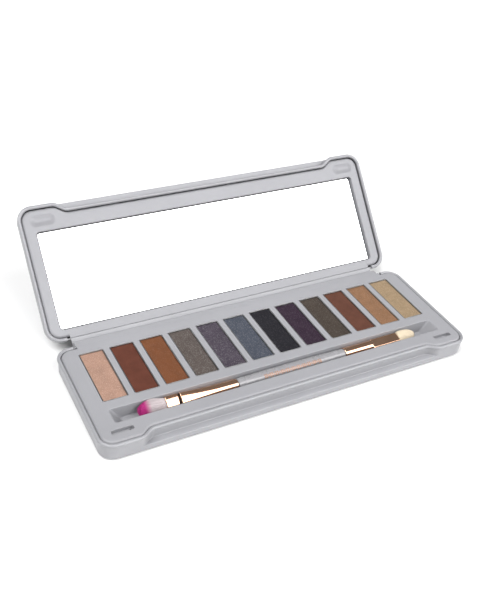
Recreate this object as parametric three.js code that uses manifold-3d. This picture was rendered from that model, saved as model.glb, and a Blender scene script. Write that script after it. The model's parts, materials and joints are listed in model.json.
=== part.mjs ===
// Eyeshadow palette: a hinged tin with twelve pans, a mirror in the lid and a double-ended brush.
// Millimetres, +Z up. The origin is the centre of the base's flat underside, +Y points to the hinge.
// The lid is drawn closed and then turned about the hinge wire to its open stop.
import * as THREE from "three";
import { mergeVertices } from "three/addons/utils/BufferGeometryUtils.js";
import Module from "manifold-3d";

const wasm = await Module();
wasm.setup();

// ---- Case outline, seen from above ----
const halfLength = 99.5;
const halfDepth = 33.8;
const cornerRadius = 7.5;
const recessDepth = 3.5; // finger recess in the front edge
const recessFullX = 74; // the recess has its full depth inside this x
const recessGoneX = 81.5; // and has run out beyond this x
const sheetLap = 1; // cuts run on this far past the face they open

// ---- Tin shells ----
const baseHeight = 10;
const lidHeight = 7.6;
const sheet = 0.5;
const wallInset = 0.5; // the wall stands this far inside the rim's outer edge
const beadRadius = 0.9; // rolled rim
const edgeRadius = 2; // between wall and flat
const ledgeRadius = 0.5; // along the finger recess's ledge
const ledgeFall = 0.05; // the ledge rises this much towards the wall above it
const baseLedge = 4.2; // height of the finger recess's ledge above the flat
const lidLedge = 3.8;
const rimGap = 0.4; // between the two rims when the case is shut
const openAngle = THREE.MathUtils.degToRad(133);

// ---- Hinge ----
const hingeY = halfDepth + 2.8;
const hingeZ = 7.8;
const hingeHalf = 88.3; // half the length of the rolled leaves
const leafFoot = 7.2; // the base's leaf starts at this height on its rear wall
const leafRise = 0.2; // the lid's leaf lies this far above its rim
const leafHead = 2.6; // and overlaps the lid's rear wall by this much
const leafJoin = 60; // degrees, where the lid's flat leaf meets its roll
const leafTip = -64; // degrees, where the lid's roll ends; it stops against the base's leaf
const rimCutHalf = 89.3; // the rims' beads stop here
const wireRadius = 0.6;
const wireHalf = 87.9;
const leafSheet = 0.4;
const baseCurl = 1.3; // outer radius of the base's curl round the wire
const lidCurl = 2.05; // outer radius of the lid's curl round the base's curl

// ---- Plastic inserts ----
const insertInset = 2.1;
const insertWall = 1;
const insertFlange = 1.2;
const shoulder = 1.4;
const lipDepth = 3.5; // a thin lip at the back of each insert reaches over the shoulder to the hinge
const lipThickness = 0.7;
const trayLipY = halfDepth - 0.7;
const frameLipY = halfDepth - 1.3;
const trayTop = 10.1;
const skirtBottom = 0.9;

// ---- Pans ----
const panCount = 12;
const panPitch = 15.15;
const panRowY = 9.8;
const windowSize = new THREE.Vector2(12.1, 34.3);
const pocketRadius = 0.9; // in plan
const panClearance = 0.35;
const panHeight = 4.4;
const panSheet = 0.35;
const panRadius = 0.7; // in plan
const powderRadius = 0.4;
const pocketDepth = 4.8;
const pocketWall = 0.9;
const powderDepth = 3.5;
const powderClearance = 0.22;

// ---- Brush channel and latch ----
const channelY = -17.05;
const channelHalf = new THREE.Vector2(89, 4.35);
const channelFloorHalf = new THREE.Vector2(83.6, 3.8);
const channelFloorY = -16.8;
const channelDepth = 6.8;
const channelWall = 0.8;
const latchX = 87.4;
const latchY = -26.1;
const slotSize = new THREE.Vector3(10.2, 2.4, 2);
const slotWall = 0.8;
const slotHoleRadius = 0.95;
const slotHoleEdge = 0.2; // from the hole to the groove's end
const moundSize = new THREE.Vector3(11.8, 4.8, 0.8);
const lugSize = new THREE.Vector3(7.6, 1.1, 1.7);

// ---- Mirror ----
const rimPlane = baseHeight + rimGap; // the lid's rim when shut
const framePlane = rimPlane + 1.15; // the frame's face when shut
const mirrorWindow = new THREE.Vector2(183.6, 48.9);
const mirrorY = 3.65;
const mirrorSetBack = 1.9;
const mirrorThickness = 1.2;
const tapeThickness = 0.4;
const tapeInset = 6;
const frameWall = 0.8;
const windowRadius = 1.5;
const gap = 0.3; // between neighbouring pieces

// ---- Brush ----
const brushY = -16.25;
const brushZ = 6.65;
const brushRoll = THREE.MathUtils.degToRad(42); // the flat parts lie tilted, broad side up to the front

// ================= Helpers =================

function toSolid(geometry) {
  const bare = geometry.clone();
  bare.deleteAttribute("normal");
  bare.deleteAttribute("uv");
  const merged = mergeVertices(bare, 1e-4);
  return new wasm.Manifold(new wasm.Mesh({
    numProp: 3,
    vertProperties: new Float32Array(merged.attributes.position.array),
    triVerts: new Uint32Array(merged.index.array),
  }));
}

function toGeometry(solid) {
  const mesh = solid.getMesh();
  const geometry = new THREE.BufferGeometry();
  geometry.setAttribute("position", new THREE.BufferAttribute(new Float32Array(mesh.vertProperties), 3));
  geometry.setIndex(new THREE.BufferAttribute(new Uint32Array(mesh.triVerts), 1));
  return geometry;
}

// A closed body through rings of equally many points; the first and last rings are capped.
function loft(rings) {
  const count = rings[0].length;
  const positions = rings.flat().flatMap((point) => [point.x, point.y, point.z]);
  const faces = [];
  for (let ring = 0; ring + 1 < rings.length; ring += 1) {
    for (let i = 0; i < count; i += 1) {
      const a = ring * count + i;
      const b = ring * count + ((i + 1) % count);
      faces.push(a, b, b + count, a, b + count, a + count);
    }
  }
  const addCap = (ring, flip, project) => {
    const flat = rings[ring].map(project);
    const clockwise = THREE.ShapeUtils.isClockWise(flat);
    for (const face of THREE.ShapeUtils.triangulateShape(flat, [])) {
      const corners = face.map((index) => flat[index]);
      const turned = THREE.ShapeUtils.isClockWise(corners) !== clockwise;
      const order = turned === flip ? face : [face[0], face[2], face[1]];
      faces.push(...order.map((index) => ring * count + index));
    }
  };
  const normal = rings[0][1].clone().sub(rings[0][0]).cross(rings[0][2].clone().sub(rings[0][0]));
  const alongX = Math.abs(normal.x) > Math.abs(normal.z);
  const project = (point) => {
    return alongX ? new THREE.Vector2(point.y, point.z) : new THREE.Vector2(point.x, point.y);
  };
  addCap(0, true, project);
  addCap(rings.length - 1, false, project);
  const geometry = new THREE.BufferGeometry();
  geometry.setAttribute("position", new THREE.Float32BufferAttribute(positions, 3));
  geometry.setIndex(faces);
  return geometry;
}

function arcPoints(centerX, centerY, radius, startDeg, endDeg, steps) {
  const points = [];
  for (let i = 0; i <= steps; i += 1) {
    const angle = THREE.MathUtils.degToRad(startDeg + ((endDeg - startDeg) * i) / steps);
    points.push(new THREE.Vector2(centerX + radius * Math.cos(angle), centerY + radius * Math.sin(angle)));
  }
  return points;
}

// The case's outline moved inwards by inset, with the front recess sunk by recess, at height z.
function caseRing(inset, recess, z) {
  const x = halfLength - inset;
  const y = halfDepth - inset;
  const radius = cornerRadius - inset;
  const cornerSteps = 6;
  const curveSteps = 6;
  const points = [];
  for (const side of [-1, 1]) {
    for (let i = 0; i <= curveSteps; i += 1) {
      const along = side < 0 ? i / curveSteps : 1 - i / curveSteps;
      const depth = along * along * (3 - 2 * along);
      const px = side * (recessGoneX + (recessFullX - recessGoneX) * along);
      points.push(new THREE.Vector2(px, -y + recess * depth));
    }
  }
  points.push(...arcPoints(x - radius, radius - y, radius, -90, 0, cornerSteps));
  points.push(...arcPoints(x - radius, y - radius, radius, 0, 90, cornerSteps));
  points.push(...arcPoints(radius - x, y - radius, radius, 90, 180, cornerSteps));
  points.push(...arcPoints(radius - x, radius - y, radius, 180, 270, cornerSteps));
  return points.map((point) => new THREE.Vector3(point.x, point.y, z));
}

// A rectangle with round corners about (centerX, centerY), at height z.
function roundedRing(halfX, halfY, radius, centerX, centerY, z, steps = 2) {
  const right = centerX + halfX - radius;
  const left = centerX - halfX + radius;
  const back = centerY + halfY - radius;
  const front = centerY - halfY + radius;
  const points = [
    ...arcPoints(right, front, radius, -90, 0, steps),
    ...arcPoints(right, back, radius, 0, 90, steps),
    ...arcPoints(left, back, radius, 90, 180, steps),
    ...arcPoints(left, front, radius, 180, 270, steps),
  ];
  return points.map((point) => new THREE.Vector3(point.x, point.y, z));
}

function roundedBlock(halfX, halfY, radius, centerX, centerY, bottom, top, steps = 2) {
  return toSolid(loft([
    roundedRing(halfX, halfY, radius, centerX, centerY, bottom, steps),
    roundedRing(halfX, halfY, radius, centerX, centerY, top, steps),
  ]));
}

function box(sizeX, sizeY, sizeZ, x, y, z) {
  return toSolid(new THREE.BoxGeometry(sizeX, sizeY, sizeZ).translate(x, y, z));
}

// A profile in the Y-Z plane, drawn out along X on both sides of the middle.
function drawnAlongX(profile, half) {
  const geometry = new THREE.ExtrudeGeometry(new THREE.Shape(profile), {
    depth: half * 2,
    bevelEnabled: false,
  });
  geometry.translate(0, 0, -half);
  const turn = new THREE.Matrix4().makeBasis(
    new THREE.Vector3(0, 1, 0),
    new THREE.Vector3(0, 0, 1),
    new THREE.Vector3(1, 0, 0),
  );
  return toSolid(geometry.applyMatrix4(turn));
}

const group = new THREE.Group();
const lidGroup = new THREE.Group();
lidGroup.position.set(0, hingeY, hingeZ);
lidGroup.rotation.x = -openAngle;
const lidSpace = new THREE.Group();
lidSpace.position.set(0, -hingeY, -hingeZ);
lidGroup.add(lidSpace);
group.add(lidGroup);

function addPart(parent, name, geometry, color, roughness, metalness) {
  const material = new THREE.MeshStandardMaterial({ color, roughness, metalness });
  const mesh = new THREE.Mesh(geometry, material);
  mesh.name = name;
  parent.add(mesh);
}

// ================= Tin shells =================

// One pressed half of the case, standing on its flat with the open rim on top.
function tinShell(height, ledge) {
  const rings = [];
  const roundSteps = 4;
  for (let i = 0; i <= roundSteps; i += 1) {
    const angle = (Math.PI / 2) * (i / roundSteps);
    const inset = wallInset + edgeRadius * (1 - Math.sin(angle));
    rings.push(caseRing(inset, 0, edgeRadius * (1 - Math.cos(angle))));
  }
  const bend = ledgeRadius * (1 - Math.SQRT1_2);
  rings.push(caseRing(wallInset, 0, ledge - ledgeRadius));
  rings.push(caseRing(wallInset, bend, ledge - bend));
  rings.push(caseRing(wallInset, ledgeRadius, ledge));
  rings.push(caseRing(wallInset, recessDepth - ledgeRadius, ledge + ledgeFall));
  rings.push(caseRing(wallInset, recessDepth, ledge + ledgeRadius));
  const beadZ = height - beadRadius;
  const beadStart = -THREE.MathUtils.radToDeg(Math.acos((beadRadius - wallInset) / beadRadius));
  for (const point of arcPoints(0, 0, beadRadius, beadStart, 180 - beadStart, 9)) {
    rings.push(caseRing(beadRadius - point.x, recessDepth, beadZ + point.y));
  }
  const innerInset = wallInset + sheet;
  const innerRadius = edgeRadius - sheet;
  const beadFoot = Math.sqrt(beadRadius ** 2 - (innerInset - beadRadius) ** 2);
  rings.splice(-1, 1, caseRing(innerInset, recessDepth, beadZ - beadFoot));
  rings.push(caseRing(innerInset, recessDepth, ledge - sheet + ledgeFall));
  rings.push(caseRing(innerInset, 0, ledge - sheet));
  for (let i = roundSteps; i >= 0; i -= 1) {
    const angle = (Math.PI / 2) * (i / roundSteps);
    const inset = innerInset + innerRadius * (1 - Math.sin(angle));
    rings.push(caseRing(inset, 0, sheet + innerRadius * (1 - Math.cos(angle))));
  }
  // Along the hinge the bead is cut away, down to its foot.
  const cut = 3;
  const cutBottom = beadZ - beadRadius - ledgeFall;
  const beadCut = box(rimCutHalf * 2, cut, cut, 0, halfDepth - beadRadius + gap, cutBottom + cut / 2);
  return toSolid(loft(rings)).subtract(beadCut);
}

// The base's rear wall goes on as a flat leaf and rolls up round the wire.
function baseHingeLeaf() {
  const wallBack = halfDepth - wallInset;
  const wallFront = wallBack - sheet;
  const leafTop = hingeZ + baseCurl;
  const profile = [
    new THREE.Vector2(wallFront, leafFoot),
    new THREE.Vector2(wallBack, leafFoot),
    new THREE.Vector2(wallBack, leafTop - leafSheet),
    ...arcPoints(hingeY, hingeZ, baseCurl - leafSheet, 90, -200, 16),
    ...arcPoints(hingeY, hingeZ, baseCurl, -200, 90, 16),
    new THREE.Vector2(wallFront, leafTop),
  ];
  return drawnAlongX(profile, hingeHalf);
}

// The lid's leaf runs back from its rim, over the base's leaf, and rolls round the base's curl.
function lidHingeLeaf() {
  const wallBack = halfDepth - wallInset;
  const wallFront = wallBack - sheet;
  const inner = lidCurl - leafSheet;
  const underside = rimPlane + leafRise;
  const joinSlope = THREE.MathUtils.degToRad(leafJoin);
  const sweep = (radius, z) => {
    const end = new THREE.Vector2(
      hingeY + radius * Math.cos(joinSlope),
      hingeZ + radius * Math.sin(joinSlope),
    );
    const reach = (z - end.y) / Math.cos(joinSlope);
    const knee = new THREE.Vector2(end.x - reach * Math.sin(joinSlope), z);
    const start = new THREE.Vector2(halfDepth + leafSheet * 2, z);
    return new THREE.QuadraticBezierCurve(start, knee, end).getPoints(5);
  };
  const profile = [
    new THREE.Vector2(wallFront, underside),
    ...sweep(inner, underside),
    ...arcPoints(hingeY, hingeZ, inner, leafJoin, leafTip, 9).slice(1),
    ...arcPoints(hingeY, hingeZ, lidCurl, leafTip, leafJoin, 9),
    ...sweep(lidCurl, underside + leafSheet).reverse().slice(1),
    new THREE.Vector2(wallBack, underside + leafSheet),
    new THREE.Vector2(wallBack, rimPlane + leafHead),
    new THREE.Vector2(wallFront, rimPlane + leafHead),
  ];
  return drawnAlongX(profile, hingeHalf);
}

const tinColor = 0xc4c5cb;
const baseShell = tinShell(baseHeight, baseLedge).add(baseHingeLeaf());
addPart(group, "base_shell", toGeometry(baseShell), tinColor, 0.45, 0.1);

const lidTop = rimPlane + lidHeight;
const lidHalf = tinShell(lidHeight, lidLedge).mirror([0, 0, 1]).translate([0, 0, lidTop]);
addPart(lidSpace, "lid_shell", toGeometry(lidHalf.add(lidHingeLeaf())), tinColor, 0.45, 0.1);

const wire = new THREE.CylinderGeometry(wireRadius, wireRadius, wireHalf * 2, 12);
wire.rotateZ(Math.PI / 2);
wire.translate(0, hingeY, hingeZ);
addPart(group, "hinge_wire", wire, 0x9a9a9e, 0.3, 0.9);

// ================= Plastic inserts =================

// A shallow lid of plastic with a rolled shoulder, open underneath, following the case's outline.
function insertBody(bottom, top) {
  const rings = [caseRing(insertInset, recessDepth, bottom)];
  const steps = 4;
  for (let i = 0; i <= steps; i += 1) {
    const angle = (Math.PI / 2) * (i / steps);
    const inset = insertInset + shoulder * (1 - Math.cos(angle));
    rings.push(caseRing(inset, recessDepth, top - shoulder * (1 - Math.sin(angle))));
  }
  const hollowInset = insertInset + insertWall;
  const hollow = toSolid(loft([
    caseRing(hollowInset, recessDepth, bottom - sheetLap),
    caseRing(hollowInset, recessDepth, top - insertFlange),
  ]));
  return toSolid(loft(rings)).subtract(hollow);
}

function channelBlock(grow, top, floor) {
  const radius = 1 + grow;
  return toSolid(loft([
    roundedRing(channelFloorHalf.x + grow, channelFloorHalf.y + grow, radius, 0, channelFloorY, floor),
    roundedRing(channelHalf.x + grow, channelHalf.y + grow, radius, 0, channelY, top),
  ]));
}

// The thin lip at the back of an insert, between the rolled leaves' ends; back is its rear edge.
function rearLip(back, middleZ) {
  return box(2 * hingeHalf, lipDepth, lipThickness, 0, back - lipDepth / 2, middleZ);
}

function panX(index) {
  return (index - (panCount - 1) / 2) * panPitch;
}

function trayInsert() {
  const pocketFloor = trayTop - pocketDepth;
  const underPlate = trayTop - insertFlange / 2;
  const rowHalf = panX(panCount - 1) + windowSize.x / 2 + pocketWall;
  let tray = insertBody(skirtBottom, trayTop);
  const panBlock = roundedBlock(
    rowHalf, windowSize.y / 2 + pocketWall, pocketRadius + pocketWall, 0, panRowY,
    pocketFloor - pocketWall, underPlate,
  );
  const channelFloor = trayTop - channelDepth;
  tray = tray.add(panBlock).add(channelBlock(channelWall, underPlate, channelFloor - channelWall));
  tray = tray.add(rearLip(trayLipY, trayTop - lipThickness / 2));
  for (let i = 0; i < panCount; i += 1) {
    const pocket = roundedBlock(
      windowSize.x / 2, windowSize.y / 2, pocketRadius, panX(i), panRowY, pocketFloor, trayTop + sheetLap,
    );
    tray = tray.subtract(pocket);
  }
  tray = tray.subtract(channelBlock(0, trayTop, channelFloor));
  for (const side of [-1, 1]) {
    tray = cutLatchSlot(tray, side * latchX, underPlate);
  }
  return tray;
}

// A latch slot is a groove over a thickened patch, with a round hole at its right end.
function cutLatchSlot(tray, x, underPlate) {
  const bossBottom = trayTop - slotSize.z - slotWall;
  const bossHeight = underPlate - bossBottom;
  const bossX = slotSize.x + 2 * slotWall;
  const bossY = slotSize.y + 2 * slotWall;
  const boss = box(bossX, bossY, bossHeight, x, latchY, bossBottom + bossHeight / 2);
  const grooveFloor = trayTop - slotSize.z;
  const grooveHeight = slotSize.z + sheetLap;
  const groove = box(slotSize.x, slotSize.y, grooveHeight, x, latchY, grooveFloor + grooveHeight / 2);
  const drill = new THREE.CylinderGeometry(slotHoleRadius, slotHoleRadius, slotSize.z * 3, 16);
  drill.rotateX(Math.PI / 2);
  drill.translate(x + slotSize.x / 2 - slotHoleRadius - slotHoleEdge, latchY, grooveFloor);
  return tray.add(boss).subtract(groove).subtract(toSolid(drill));
}

const plasticColor = 0xc6c7cd;
addPart(group, "tray_insert", toGeometry(trayInsert()), plasticColor, 0.5, 0);

// ================= Mirror and its frame =================

const mirrorFace = framePlane + mirrorSetBack;
const tapeFace = mirrorFace + mirrorThickness + gap;
const frameFloor = tapeFace + tapeThickness + gap;

function mirrorFrame() {
  const skirtTop = lidTop - sheet - gap;
  const halfX = mirrorWindow.x / 2;
  const halfY = mirrorWindow.y / 2;
  let frame = insertBody(-skirtTop, -framePlane).mirror([0, 0, 1]);
  frame = frame.add(roundedBlock(
    halfX + frameWall, halfY + frameWall, windowRadius + frameWall, 0, mirrorY,
    framePlane + insertFlange / 2, frameFloor + frameWall,
  ));
  frame = frame.add(rearLip(frameLipY, framePlane + lipThickness / 2));
  frame = frame.subtract(roundedBlock(
    halfX, halfY, windowRadius, 0, mirrorY, framePlane - sheetLap, frameFloor,
  ));
  for (const side of [-1, 1]) {
    const sunk = 0.2; // the mound's middle lies this far inside the frame's face
    const mound = new THREE.SphereGeometry(1, 18, 10);
    mound.scale(moundSize.x / 2, moundSize.y / 2, moundSize.z + sunk);
    mound.translate(side * latchX, latchY, framePlane + sunk);
    const lug = box(lugSize.x, lugSize.y, lugSize.z + lipThickness, side * latchX, latchY,
      framePlane + (lipThickness - lugSize.z) / 2);
    frame = frame.add(toSolid(mound)).add(lug);
  }
  return frame;
}

addPart(lidSpace, "mirror_frame", toGeometry(mirrorFrame()), plasticColor, 0.5, 0);

const glass = roundedBlock(
  mirrorWindow.x / 2 - gap, mirrorWindow.y / 2 - gap, windowRadius - gap, 0, mirrorY,
  mirrorFace, mirrorFace + mirrorThickness,
);
addPart(lidSpace, "mirror_glass", toGeometry(glass), 0xf4f6f8, 0.02, 1);

const tape = roundedBlock(
  mirrorWindow.x / 2 - tapeInset, mirrorWindow.y / 2 - tapeInset, windowRadius, 0, mirrorY,
  tapeFace, tapeFace + tapeThickness,
);
addPart(lidSpace, "mirror_tape", toGeometry(tape), 0x55565a, 0.9, 0);

// ================= Pans and powders =================

const powderColors = [
  0xd6ac93, 0x7a4a38, 0x8c5838, 0x726a60, 0x5e5660, 0x5c626e,
  0x302f36, 0x42333f, 0x5c524a, 0x7c5242, 0xa47c5c, 0xb89c78,
];

for (let i = 0; i < panCount; i += 1) {
  const halfX = windowSize.x / 2 - panClearance;
  const halfY = windowSize.y / 2 - panClearance;
  const bottom = trayTop - pocketDepth + gap;
  const outer = roundedBlock(halfX, halfY, panRadius, panX(i), panRowY, bottom, bottom + panHeight);
  const inner = roundedBlock(
    halfX - panSheet, halfY - panSheet, panRadius - panSheet / 2, panX(i), panRowY,
    bottom + panSheet, bottom + panHeight + sheetLap,
  );
  const number = String(i + 1).padStart(2, "0");
  addPart(group, `pan_${number}`, toGeometry(outer.subtract(inner)), 0xb9babd, 0.35, 0.9);
  const inset = panSheet + powderClearance;
  const powderBottom = bottom + panSheet + powderClearance;
  const powder = roundedBlock(
    halfX - inset, halfY - inset, powderRadius, panX(i), panRowY, powderBottom, powderBottom + powderDepth,
  );
  addPart(group, `powder_${number}`, toGeometry(powder), powderColors[i], 0.85, 0);
}

// ================= Brush =================

// A body along X through elliptic sections [x, half width, half thickness, lift], tilted by brushRoll.
function brushBody(sections, segments) {
  const across = new THREE.Vector2(Math.cos(brushRoll), Math.sin(brushRoll));
  const rings = sections.map(([x, halfWidth, halfThickness, lift = 0]) => {
    const ring = [];
    for (let i = 0; i < segments; i += 1) {
      const angle = (2 * Math.PI * i) / segments;
      const wide = halfWidth * Math.cos(angle);
      const thick = halfThickness * Math.sin(angle);
      const y = brushY + wide * across.x - thick * across.y;
      const z = brushZ + lift + wide * across.y + thick * across.x;
      ring.push(new THREE.Vector3(x, y, z));
    }
    return ring;
  });
  return toSolid(loft(rings));
}

const handle = brushBody([
  [-32.8, 2.3, 2.3], [-27, 2.3, 2.3], [-26.8, 2.85, 2.85], [-12, 3.05, 3.05],
  [10, 3.1, 3.1], [32.6, 2.75, 2.75], [32.8, 2.3, 2.3], [38.6, 2.3, 2.3],
], 16);
addPart(group, "brush_handle", toGeometry(handle), 0xdcd6d4, 0.25, 0);

const brushFerrule = brushBody([
  [-63.1, 3.85, 1.85], [-57.8, 3.85, 1.9], [-57.2, 3.5, 1.7], [-56.9, 3.5, 1.7],
  [-56.3, 3.75, 2.1], [-48, 3.35, 2.6], [-36, 3, 2.95], [-27.1, 3, 3],
], 18).subtract(brushBody([
  [-64.1, 3.45, 1.45], [-56.5, 3.1, 1.35], [-50, 2.95, 1.95], [-38, 2.6, 2.55], [-26.1, 2.65, 2.65],
], 18));
addPart(group, "brush_ferrule", toGeometry(brushFerrule), 0xb8917c, 0.25, 0.9);

const spongeFerrule = brushBody([
  [33.1, 3, 3], [49.5, 3, 3], [51.5, 2.6, 2.3], [66.3, 2.5, 2.15],
], 16).subtract(brushBody([
  [32.1, 2.65, 2.65], [49, 2.6, 2.6], [51.5, 2.25, 1.95], [67.3, 2.1, 1.8],
], 16));
addPart(group, "sponge_ferrule", toGeometry(spongeFerrule), 0xb8917c, 0.25, 0.9);

const bristles = brushBody([
  [-76.7, 2, 0.6, 0.5], [-75.8, 3.5, 1.1, 0.5], [-73.5, 4.1, 1.5, 0.4], [-69.5, 4.1, 1.7, 0.3],
  [-63.6, 3.15, 1.15], [-57.5, 2.8, 1.05],
], 16);
addPart(group, "bristle_tuft", toGeometry(bristles), 0xe07ab4, 0.8, 0);

const sponge = brushBody([
  [60, 1.75, 1.4], [66.4, 1.75, 1.45], [66.8, 3.2, 2.1], [69.3, 3.6, 2.3],
  [73.6, 3.3, 2.1], [76.2, 2.2, 1.5], [77.5, 0.8, 0.6],
], 16);
addPart(group, "sponge_tip", toGeometry(sponge), 0xe6d5b4, 0.9, 0);

export default group;
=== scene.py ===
# Looks of the eyeshadow palette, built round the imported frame.
# Lengths are in millimetres until Shape.build makes metres of them. The lid's pieces are drawn shut,
# as a case is, and then turned about the hinge wire to the open stop, where the frame stands at rest.
import json
import math
import random

import bmesh
import bpy
from mathutils import Matrix, Vector, noise
from mathutils.geometry import tessellate_polygon


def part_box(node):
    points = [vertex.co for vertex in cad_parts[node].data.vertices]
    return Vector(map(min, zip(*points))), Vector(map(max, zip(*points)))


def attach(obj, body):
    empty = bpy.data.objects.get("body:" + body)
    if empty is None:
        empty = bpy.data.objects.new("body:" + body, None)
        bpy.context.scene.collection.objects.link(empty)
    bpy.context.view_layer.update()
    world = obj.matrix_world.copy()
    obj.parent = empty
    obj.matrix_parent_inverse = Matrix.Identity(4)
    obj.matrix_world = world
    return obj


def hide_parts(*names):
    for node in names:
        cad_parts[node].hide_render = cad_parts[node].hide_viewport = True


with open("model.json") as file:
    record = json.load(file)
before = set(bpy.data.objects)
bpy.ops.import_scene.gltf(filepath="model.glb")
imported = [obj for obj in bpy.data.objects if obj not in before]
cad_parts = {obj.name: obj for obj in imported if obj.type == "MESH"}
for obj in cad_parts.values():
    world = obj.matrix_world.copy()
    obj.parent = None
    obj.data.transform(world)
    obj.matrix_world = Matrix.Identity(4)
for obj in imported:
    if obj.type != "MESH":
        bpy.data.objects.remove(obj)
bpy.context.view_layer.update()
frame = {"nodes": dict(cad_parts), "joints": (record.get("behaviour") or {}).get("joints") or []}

MM = 0.001


# ================= Sizes, in millimetres =================


def box_mm(node):
    low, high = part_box(node)
    return low / MM, high / MM


hinge_joint = next(j for j in frame["joints"] if j["name"] == "lid_hinge")
HINGE = Vector(hinge_joint["pos_m"]) / MM
OPEN_TURN = (
    Matrix.Translation(HINGE)
    @ Matrix.Rotation(-math.radians(hinge_joint["range_deg"][1]), 4, "X")
    @ Matrix.Translation(-HINGE)
)


def shut_box(node):
    """Lowest and highest corner of one of the lid's CAD nodes with the case shut."""
    turn = OPEN_TURN.inverted()
    points = [turn @ (v.co / MM) for v in frame["nodes"][node].data.vertices]
    low = Vector(min(p[k] for p in points) for k in range(3))
    high = Vector(max(p[k] for p in points) for k in range(3))
    return low, high


base_low, base_high = box_mm("base_shell")
tray_low, tray_high = box_mm("tray_insert")
lid_high = shut_box("lid_shell")[1]
glass_low, glass_high = shut_box("mirror_glass")

# Case outline
HALF_LENGTH = round(base_high.x, 1)
HALF_DEPTH = round(-base_low.y, 1)
CORNER_RADIUS = 7.5
RECESS_DEPTH = 3.5
RECESS_FULL_X = 74
RECESS_GONE_X = 81.5

# Tin shells
BASE_HEIGHT = 10
LID_TOP = round(lid_high.z, 1)
RIM_GAP = 0.4
RIM_PLANE = BASE_HEIGHT + RIM_GAP
LID_HEIGHT = LID_TOP - RIM_PLANE
BASE_LEDGE = 4.2
LID_LEDGE = 3.8
SHEET = 0.5
WALL_INSET = 0.5
BEAD_RADIUS = 0.9
BEAD_HOLLOW = 0.68
EDGE_RADIUS = 2
LEDGE_FILLET = 0.5

# Hinge
LEAF_HALF = 88.3
RIM_CUT_HALF = 90
LEAF_SHEET = 0.4
BASE_CURL = 1.3
LID_CURL = 2.05

# Inserts
INSERT_INSET = 1.95
INSERT_WALL = 1
INSERT_FLANGE = 1.2
SHOULDER = 1.4
TRAY_TOP = round(tray_high.z, 2)
SKIRT_BOTTOM = round(tray_low.z, 2)
HOLD = 0.15  # a flat face keeps this much of a border, so that it shades flat

# Windows, channel and latch
WINDOW = (6.05, 17.15)
POCKET_DEPTH = 4.8
POCKET_WALL = 0.9
# Each is (half x, half y, centre y). The front edge stands 0.3 mm further in than the frame's.
CHANNEL_TOP = (89, 4.2, -16.9)
CHANNEL_FLOOR = (83.6, 3.7, -16.7)
CHANNEL_DEPTH = 6.8
LATCH_X = 87.4
LATCH_Y = -26.1
SLOT = (5.1, 1.2)
SLOT_DEPTH = 2
SLOT_WALL = 0.8
SLOT_HOLE = 0.95

# Mirror
GAP = 0.3
GLASS_PLAY = 0.15
FRAME_PLANE = glass_low.z - 1.9
FRAME_FLOOR = glass_high.z + 1
MOUND_FOOT = (6.6, 3.0)
MOUND_RIDGE = (3.0, 0.15)
MOUND_HEIGHT = 1.2
TRAY_LIP_Y = HALF_DEPTH - 0.7
FRAME_LIP_Y = HALF_DEPTH - 1.1
LIP_THICKNESS = 0.7


# ================= Mesh building =================


def arc(center_x, center_y, radius, start_deg, end_deg, steps):
    points = []
    for i in range(steps + 1):
        angle = math.radians(start_deg + (end_deg - start_deg) * i / steps)
        points.append((center_x + radius * math.cos(angle), center_y + radius * math.sin(angle)))
    return points


def quarter(steps):
    """Sine and cosine pairs of a quarter turn, for fillets."""
    turns = [math.pi / 2 * i / steps for i in range(steps + 1)]
    return [(math.sin(t), math.cos(t)) for t in turns]


class Shape:
    """A mesh being made from rings of points."""

    def __init__(self):
        self.points = []
        self.faces = []

    def row(self, points):
        start = len(self.points)
        self.points.extend(Vector(p) for p in points)
        return list(range(start, len(self.points)))

    def bridge(self, a, b, closed=True):
        count = len(a)
        for i in range(count if closed else count - 1):
            j = (i + 1) % count
            self.faces.append((a[i], a[j], b[j], b[i]))

    def loft(self, rings, closed=True):
        rows = [self.row(ring) for ring in rings]
        for a, b in zip(rows, rows[1:]):
            self.bridge(a, b, closed)
        return rows

    def fill(self, outer, holes=()):
        loops = [outer, *holes]
        index = [i for loop in loops for i in loop]
        outlines = [[self.points[i] for i in loop] for loop in loops]
        for corners in tessellate_polygon(outlines):
            self.faces.append(tuple(index[c] for c in corners))

    def build(self, name, body, slot, material, replaces=(), place=None, sharp_deg=40, flat_weight=True):
        """Makes the object, in metres, that rides on a body."""
        place = place or Matrix.Identity(4)
        mesh = bpy.data.meshes.new(name)
        mesh.from_pydata([place @ p * MM for p in self.points], [], self.faces)
        work = bmesh.new()
        work.from_mesh(mesh)
        bmesh.ops.remove_doubles(work, verts=work.verts, dist=1e-7)
        bmesh.ops.recalc_face_normals(work, faces=work.faces)
        work.to_mesh(mesh)
        work.free()
        mesh.polygons.foreach_set("use_smooth", [True] * len(mesh.polygons))
        mesh.set_sharp_from_angle(angle=math.radians(sharp_deg))
        mesh.materials.append(material)
        piece = bpy.data.objects.new(name, mesh)
        bpy.context.scene.collection.objects.link(piece)
        if flat_weight:
            weighting = piece.modifiers.new("flat_faces", "WEIGHTED_NORMAL")
            weighting.keep_sharp = True
        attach(piece, body)
        if replaces:
            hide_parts(*replaces)
        return piece


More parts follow.
